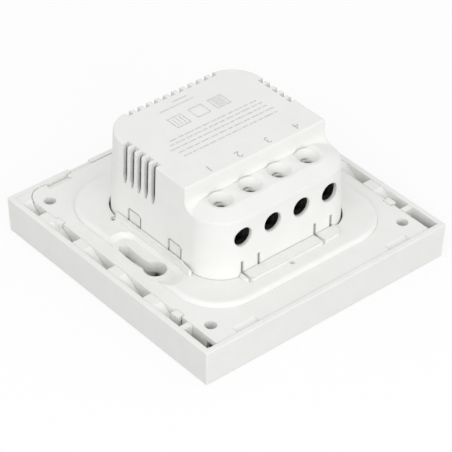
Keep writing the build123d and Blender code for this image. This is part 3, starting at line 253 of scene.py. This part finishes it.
def moulded(name, light, dark, rough=(0.36, 0.5), grain=2600.0, depth=0.00002, corner_shade=0.06,
            edge=0.00018, coat=0.0):
    """Satin moulded plastic: soft mottling, a fine spark-eroded grain, painted shade darkening the
    colour in corners that ambient occlusion finds, and a softly rounded edge."""
    s = Shader(name, Coat_Weight=coat, Coat_Roughness=0.25, Specular_IOR_Level=0.42)
    mottle = s.spread(s.noise(MOTTLE_SCALE, 4.0), 0.35, 0.65)
    tint = s.blend(mottle, dark, light)
    shade_tint = (dark[0] * 0.80, dark[1] * 0.785, dark[2] * 0.76)
    # painted shade: the colour darkens towards the shade tint where ambient occlusion finds a
    # corner, broken up by fine noise
    corner = s.spread(s.shade(CORNER_SHADE_REACH), 0.35, 0.95, corner_shade, 0.0)
    shade_breakup = s.spread(s.noise(FINE_NOISE_SCALE, 2.0, 0.7), 0.42, 0.7, 0.4, 1.0)
    s.color(s.blend(s.math("MULTIPLY", corner, shade_breakup), tint, shade_tint))
    s.roughness(s.spread(s.noise(SHEEN_SCALE), 0.3, 0.7, *rough))
    fine = s.math("ADD", s.math("MULTIPLY", s.noise(grain, 2.0, 0.6), 0.7), s.cells(grain * 0.6))
    wave = s.relief(s.noise(SINK_SCALE, 2.0), 0.10, SINK_DEPTH, s.edge(edge))
    s.normal(s.relief(fine, 0.22, depth, wave))
    return s.material


def metal(name, light, dark, stretch=(1.0, 1.0, 14.0)):
    """Plated or rolled metal: directional drawing lines, blotches of thinner plating, painted shade
    in crevices and softly rounded edges.
    """
    s = Shader(name, Metallic=1.0)
    lines = s.noise(FINE_NOISE_SCALE, 4.0, 0.65, s.stretched(stretch))
    blotch = s.spread(s.noise(BLOTCH_SCALE), 0.38, 0.68)
    tint = s.blend(s.math("MULTIPLY", blotch, 0.7), light, dark)
    # painted shade: the colour darkens towards a third of the dark tint where ambient occlusion
    # finds a crevice
    corner = s.spread(s.shade(CREVICE_SHADE_REACH), 0.4, 0.95, 0.55, 0.0)
    s.color(s.blend(corner, tint, scaled(dark, 0.35)))
    sheen = s.math("ADD", s.math("MULTIPLY", lines, 0.5), s.math("MULTIPLY", blotch, 0.5))
    s.roughness(s.spread(sheen, 0.25, 0.75, 0.24, 0.42))
    s.normal(s.relief(lines, 0.18, DRAWN_DEPTH, s.edge(METAL_EDGE)))
    return s.material


def circuit_board(name):
    """Solder mask over copper: tracks and pads show as paler, slightly raised shapes."""
    s = Shader(name, Coat_Weight=0.35, Coat_Roughness=0.12)
    across = s.spread(s.bands(TRACK_SCALE_X, "X", 2.2), 0.46, 0.54)
    along = s.spread(s.bands(TRACK_SCALE_Y, "Y", 2.6), 0.46, 0.54)
    tracks = s.math("MULTIPLY", across, along)
    pads = s.spread(s.cells(PAD_SCALE), 0.16, 0.2, 1.0, 0.0)
    copper = s.math("MAXIMUM", tracks, pads)
    mask = s.blend(s.spread(s.noise(300.0), 0.3, 0.7), (0.012, 0.10, 0.045), (0.016, 0.13, 0.06))
    s.color(s.blend(s.math("MULTIPLY", copper, 0.8), mask, (0.035, 0.23, 0.10)))
    s.roughness(s.spread(copper, 0.0, 1.0, 0.42, 0.3))
    weave = s.relief(s.noise(2400.0, 2.0), 0.2, MASK_DEPTH)
    s.normal(s.relief(copper, 0.5, TRACK_DEPTH, weave))
    return s.material


def wound(name, light, dark, turns, direction="Z"):
    """Wire or tape wound in close turns."""
    s = Shader(name, Coat_Weight=0.5, Coat_Roughness=0.15)
    coil = s.bands(turns, direction, 0.25)
    s.color(s.blend(s.spread(coil, 0.1, 0.8), dark, light))
    s.roughness(s.spread(s.noise(800.0), 0.3, 0.7, 0.22, 0.4))
    s.normal(s.relief(coil, 0.6, TURN_DEPTH))
    return s.material


def coated(name, light, dark, rough, spots, coat=0.3, depth=0.00003):
    """Dipped, sleeved or potted component skin, with small pits and a soft sheen."""
    s = Shader(name, Coat_Weight=coat, Coat_Roughness=0.18)
    patch = s.spread(s.noise(PATCH_SCALE, 4.0), 0.35, 0.68)
    pits = s.spread(s.cells(spots), 0.05, 0.22, 1.0, 0.0)
    tint = s.blend(patch, dark, light)
    s.color(s.blend(s.math("MULTIPLY", pits, 0.4), tint, scaled(dark, 0.6)))
    s.roughness(s.spread(patch, 0.0, 1.0, *rough))
    skin = s.math("SUBTRACT", s.noise(COATED_GRAIN), s.math("MULTIPLY", pits, 0.5))
    s.normal(s.relief(skin, 0.3, depth, s.edge(COATED_EDGE)))
    return s.material


def clear_plastic(name, tint, rough, share):
    """Clear or frosted light guide, with faint flow marks."""
    s = Shader(name, Transmission_Weight=share, IOR=1.49)
    flow = s.noise(FLOW_SCALE, 3.0, 0.5, s.stretched((1.0, 1.0, 0.3)))
    s.color(s.blend(s.spread(flow, 0.3, 0.7), tint, scaled(tint, 0.93)))
    s.roughness(s.spread(flow, 0.3, 0.7, rough, rough + 0.12))
    s.normal(s.relief(flow, 0.15, FLOW_DEPTH))
    return s.material


def ink(name, value):
    """Pad-printed grey ink, a little thin in places."""
    s = Shader(name)
    wear = s.spread(s.noise(INK_SCALE, 3.0, 0.7), 0.35, 0.62)
    thin = min(INK_PALEST, value * INK_THIN)
    s.color(s.blend(wear, (thin, thin, thin), (value, value, value * 0.99)))
    s.roughness(s.spread(wear, 0.0, 1.0, 0.45, 0.6))
    s.normal(s.relief(s.noise(INK_GRAIN), 0.15, INK_DEPTH))
    return s.material


MATERIALS = {
    "bezel": moulded("bezel_white", (0.855, 0.855, 0.838), (0.832, 0.832, 0.813), edge=0.00022),
    "plate": moulded("plate_white", (0.862, 0.862, 0.846), (0.838, 0.838, 0.820),
                     rough=(0.38, 0.52), grain=2300.0, edge=0.0004),
    "module": moulded("module_white", (0.868, 0.868, 0.852), (0.846, 0.846, 0.828),
                      rough=(0.36, 0.48), grain=2900.0, edge=0.0005),
    "rocker": moulded("rocker_white", (0.870, 0.870, 0.855), (0.852, 0.852, 0.836),
                      rough=(0.26, 0.36), grain=3400.0, depth=0.00001, edge=0.0003, coat=0.12),
    "carrier": moulded("carrier_white", (0.86, 0.86, 0.845), (0.84, 0.84, 0.822),
                       rough=(0.42, 0.55)),
    "cover": moulded("cover_white", (0.83, 0.83, 0.815), (0.80, 0.80, 0.785), rough=(0.42, 0.55)),
    "block": moulded("block_black", (0.030, 0.030, 0.032), (0.022, 0.022, 0.024),
                     rough=(0.4, 0.55), corner_shade=0.2),
    "zinc": metal("zinc_plate", (0.62, 0.63, 0.65), (0.42, 0.43, 0.45)),
    "tin": metal("tin_plate", (0.70, 0.71, 0.72), (0.52, 0.53, 0.55), stretch=(1.0, 10.0, 1.0)),
    "brass": metal("brass_strip", (0.72, 0.56, 0.28), (0.52, 0.38, 0.17), stretch=(1.0, 9.0, 1.0)),
    "board": circuit_board("board_green"),
    "relay": moulded("relay_case", (0.020, 0.032, 0.075), (0.015, 0.024, 0.058),
                     rough=(0.3, 0.42), corner_shade=0.3),
    "ferrite": coated("ferrite_grey", (0.050, 0.050, 0.053), (0.028, 0.028, 0.030),
                      rough=(0.5, 0.7), spots=1200.0, coat=0.0, depth=0.00008),
    "winding": wound("winding_amber", (0.55, 0.30, 0.03), (0.28, 0.13, 0.01), 520.0),
    "sleeve": coated("sleeve_black", (0.020, 0.020, 0.024), (0.010, 0.010, 0.012),
                     rough=(0.22, 0.34), spots=300.0),
    "varistor": coated("varistor_blue", (0.03, 0.10, 0.34), (0.02, 0.07, 0.24),
                       rough=(0.2, 0.32), spots=500.0, coat=0.5, depth=0.00006),
    "fuse": wound("fuse_ceramic", (0.40, 0.30, 0.18), (0.26, 0.19, 0.11), 240.0, "X"),
    "epoxy": coated("epoxy_black", (0.016, 0.016, 0.017), (0.010, 0.010, 0.011),
                    rough=(0.45, 0.6), spots=1500.0, coat=0.0),
    "guide": clear_plastic("guide_clear", (0.93, 0.96, 0.96), 0.06, 0.9),
    "lens": clear_plastic("lens_frosted", (0.80, 0.84, 0.86), 0.38, 0.55),
    "led": coated("led_potting", (0.80, 0.68, 0.30), (0.62, 0.50, 0.18),
                  rough=(0.2, 0.3), spots=900.0, coat=0.4),
    "switch": moulded("switch_black", (0.028, 0.028, 0.030), (0.018, 0.018, 0.020), corner_shade=0.2),
    "plunger": moulded("plunger_white", (0.62, 0.61, 0.57), (0.55, 0.54, 0.50)),
    "ink": ink("print_grey", 0.44),
    "ink_pale": ink("print_pale", 0.56),
}

LOOKS = {
    "bezel_frame": "bezel", "mounting_plate": "plate", "rear_housing": "module",
    "rocker_carrier": "carrier", "inner_cover": "cover", "terminal_block": "block",
    "control_board": "board", "power_board": "board", "radio_module": "board",
    "radio_shield": "tin", "board_connector": "epoxy", "board_screws": "zinc",
    "relay_left": "relay", "relay_right": "relay", "transformer_core": "ferrite",
    "transformer_winding": "winding", "bulk_capacitor": "sleeve", "output_capacitor": "sleeve",
    "varistor": "varistor", "fuse": "fuse", "bridge_rectifier": "epoxy",
}
for side in ("left", "right"):
    LOOKS.update({f"rocker_{side}": "rocker", f"rocker_lens_{side}": "lens",
                  f"light_guide_{side}": "guide", f"indicator_led_{side}": "led",
                  f"tact_switch_{side}": "switch", f"tact_plunger_{side}": "plunger"})
for number in range(1, len(TERMINAL_X) + 1):
    LOOKS.update({f"terminal_screw_{number}": "zinc", f"clamp_cage_{number}": "zinc",
                  f"terminal_contact_{number}": "brass"})
for node, look in LOOKS.items():
    data = NODES[node].data
    data.materials.clear()
    data.materials.append(MATERIALS[look])


# Print
def piece(name, mesh, look):
    """A printed piece with its own ink material, which stays on the module."""
    mesh.materials.append(MATERIALS[look])
    made = bpy.data.objects.new(name, mesh)
    scene.collection.objects.link(made)
    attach(made, "root")


def print_layer(name, bars):
    """Thin strokes on the module's back face, each (x0, x1, y0, y1) in metres."""
    low = HOUSING_TOP + PRINT_LIFT
    bm = bmesh.new()
    for x0, x1, y0, y1 in bars:
        corners = [bm.verts.new((x, y, z)) for z in (low, low + PRINT_THICK)
                   for x, y in ((x0, y0), (x1, y0), (x1, y1), (x0, y1))]
        lower, upper = corners[:4], corners[4:]
        bm.faces.new(lower[::-1])
        bm.faces.new(upper)
        for k in range(4):
            bm.faces.new((lower[k], lower[(k + 1) % 4], upper[(k + 1) % 4], upper[k]))
    mesh = bpy.data.meshes.new(name)
    bm.to_mesh(mesh)
    bm.free()
    piece(name, mesh, "ink_pale")


def bar(x0, x1, y, width):
    """One printed stroke along X, in millimetres."""
    return (x0 / 1000, x1 / 1000, (y - width / 2) / 1000, (y + width / 2) / 1000)


def upright(x, y, height):
    """One printed stroke along Y, in millimetres."""
    return bar(x - BOX_STROKE / 2, x + BOX_STROKE / 2, y, height)


def ruled_field():
    """Blank write-on field: five broken rules, the outer ones a little shorter."""
    bars = []
    for index, (y, start, end) in enumerate(RULES):
        x, k = start, 0
        while x < end - 2 * DASH_GAP:
            length = DASHES[(k + index) % len(DASHES)]
            bars.append(bar(x, min(x + length, end), y, RULE_WIDTH))
            x += length + DASH_GAP
            k += 1
    print_layer("write_on_field", bars)


def box_strokes(x, y, half):
    """Outline of an empty square box."""
    middle = half - BOX_STROKE / 2
    strokes = [bar(x - half, x + half, y + side * middle, BOX_STROKE) for side in (-1, 1)]
    tall = 2 * (half - BOX_STROKE)
    return strokes + [upright(x + side * middle, y, tall) for side in (-1, 1)]


def tick_boxes():
    """Three boxes beside the write-on field, two of them with bars, and two short rules."""
    bars = []
    for x, y, half in BOXES:
        bars += box_strokes(x, y, half)
    x, y, half = BOXES[-1]
    for k in range(HATCH_BARS):
        level = y - HATCH_REACH + 2 * HATCH_REACH * k / (HATCH_BARS - 1)
        bars.append(bar(x - HATCH_REACH, x + HATCH_REACH, level, HATCH_WIDTH))
    x, y, half = BOXES[0]
    bars += [upright(x + shift, y, TALLY_HEIGHT) for shift in TALLY_SHIFTS]
    bars += [bar(*rule) for rule in SHORT_RULES]
    print_layer("tick_boxes", bars)


def numeral(number, x):
    """Terminal number, printed to be read from the side away from the terminals."""
    curve = bpy.data.curves.new(f"numeral_{number}", "FONT")
    curve.body = str(number)
    curve.size = NUMERAL_SIZE
    curve.align_x = "CENTER"
    curve.align_y = "CENTER"
    curve.extrude = NUMERAL_DEPTH
    holder = bpy.data.objects.new("numeral_curve", curve)
    scene.collection.objects.link(holder)
    bpy.context.view_layer.update()
    mesh = bpy.data.meshes.new_from_object(holder)
    place = (x + NUMERAL_SHIFT, NUMERAL_Y, HOUSING_TOP + NUMERAL_LIFT)
    mesh.transform(Matrix.Translation(place) @ Matrix.Rotation(math.pi, 4, "Z"))
    mesh.name = f"numeral_{number}"
    bpy.data.objects.remove(holder)
    piece(f"terminal_numeral_{number}", mesh, "ink")


ruled_field()
tick_boxes()
for number, x in enumerate(TERMINAL_X, start=1):
    numeral(number, x)


# Stage
def stage_floor():
    """Pale floor, white to the eye and a plain grey to the light that bounces off it."""
    mesh = bpy.data.meshes.new("floor")
    far = FLOOR_HALF
    mesh.from_pydata([(-far, -far, 0), (far, -far, 0), (far, far, 0), (-far, far, 0)], [],
                     [(0, 1, 2, 3)])
    floor = bpy.data.objects.new("floor", mesh)
    floor.location.z = -FLOOR_DROP
    scene.collection.objects.link(floor)
    s = Shader("floor_white", Roughness=0.8, Specular_IOR_Level=0.1)
    path = s.nodes.new("ShaderNodeLightPath").outputs
    mirrored = s.math("MAXIMUM", path["Is Glossy Ray"], path["Is Transmission Ray"])
    seen = s.math("MAXIMUM", path["Is Camera Ray"], mirrored)
    s.color(s.blend(seen, FLOOR_BOUNCE, FLOOR_SEEN))
    glow = s.nodes.new("ShaderNodeEmission")
    mix = s.nodes.new("ShaderNodeMixShader")
    s.join(s.math("MULTIPLY", seen, FLOOR_WHITE), mix.inputs["Fac"])
    s.join(s.bsdf.outputs["BSDF"], mix.inputs[1])
    s.join(glow.outputs["Emission"], mix.inputs[2])
    s.join(mix.outputs["Shader"], s.nodes["Material Output"].inputs["Surface"])
    mesh.materials.append(s.material)


def stage_world():
    """White backdrop to the eye, and a little less than that as light on the object."""
    world = bpy.data.worlds.new("studio")
    world.use_nodes = True
    scene.world = world
    nodes, links = world.node_tree.nodes, world.node_tree.links
    background = nodes["Background"]
    path = nodes.new("ShaderNodeLightPath")
    seen = nodes.new("ShaderNodeMath")
    seen.operation = "MAXIMUM"
    links.new(path.outputs["Is Camera Ray"], seen.inputs[0])
    links.new(path.outputs["Is Transmission Ray"], seen.inputs[1])
    level = nodes.new("ShaderNodeMapRange")
    level.inputs["To Min"].default_value = WORLD_LEVEL
    level.inputs["To Max"].default_value = 1.0
    links.new(seen.outputs["Value"], level.inputs["Value"])
    links.new(level.outputs["Result"], background.inputs["Strength"])
    background.inputs["Color"].default_value = (1, 1, 1, 1)


def area_light(name, place, power):
    data = bpy.data.lights.new(name, "AREA")
    data.shape = "RECTANGLE"
    data.size, data.size_y = LAMP_SIZE
    data.energy = power
    lamp = bpy.data.objects.new(name, data)
    lamp.location = place
    lamp.rotation_mode = "QUATERNION"
    lamp.rotation_quaternion = (Vector(LAMP_AIM) - Vector(place)).to_track_quat("-Z", "Y")
    scene.collection.objects.link(lamp)


stage_floor()
stage_world()
for name, (place, power) in LAMPS.items():
    area_light(name, place, power)
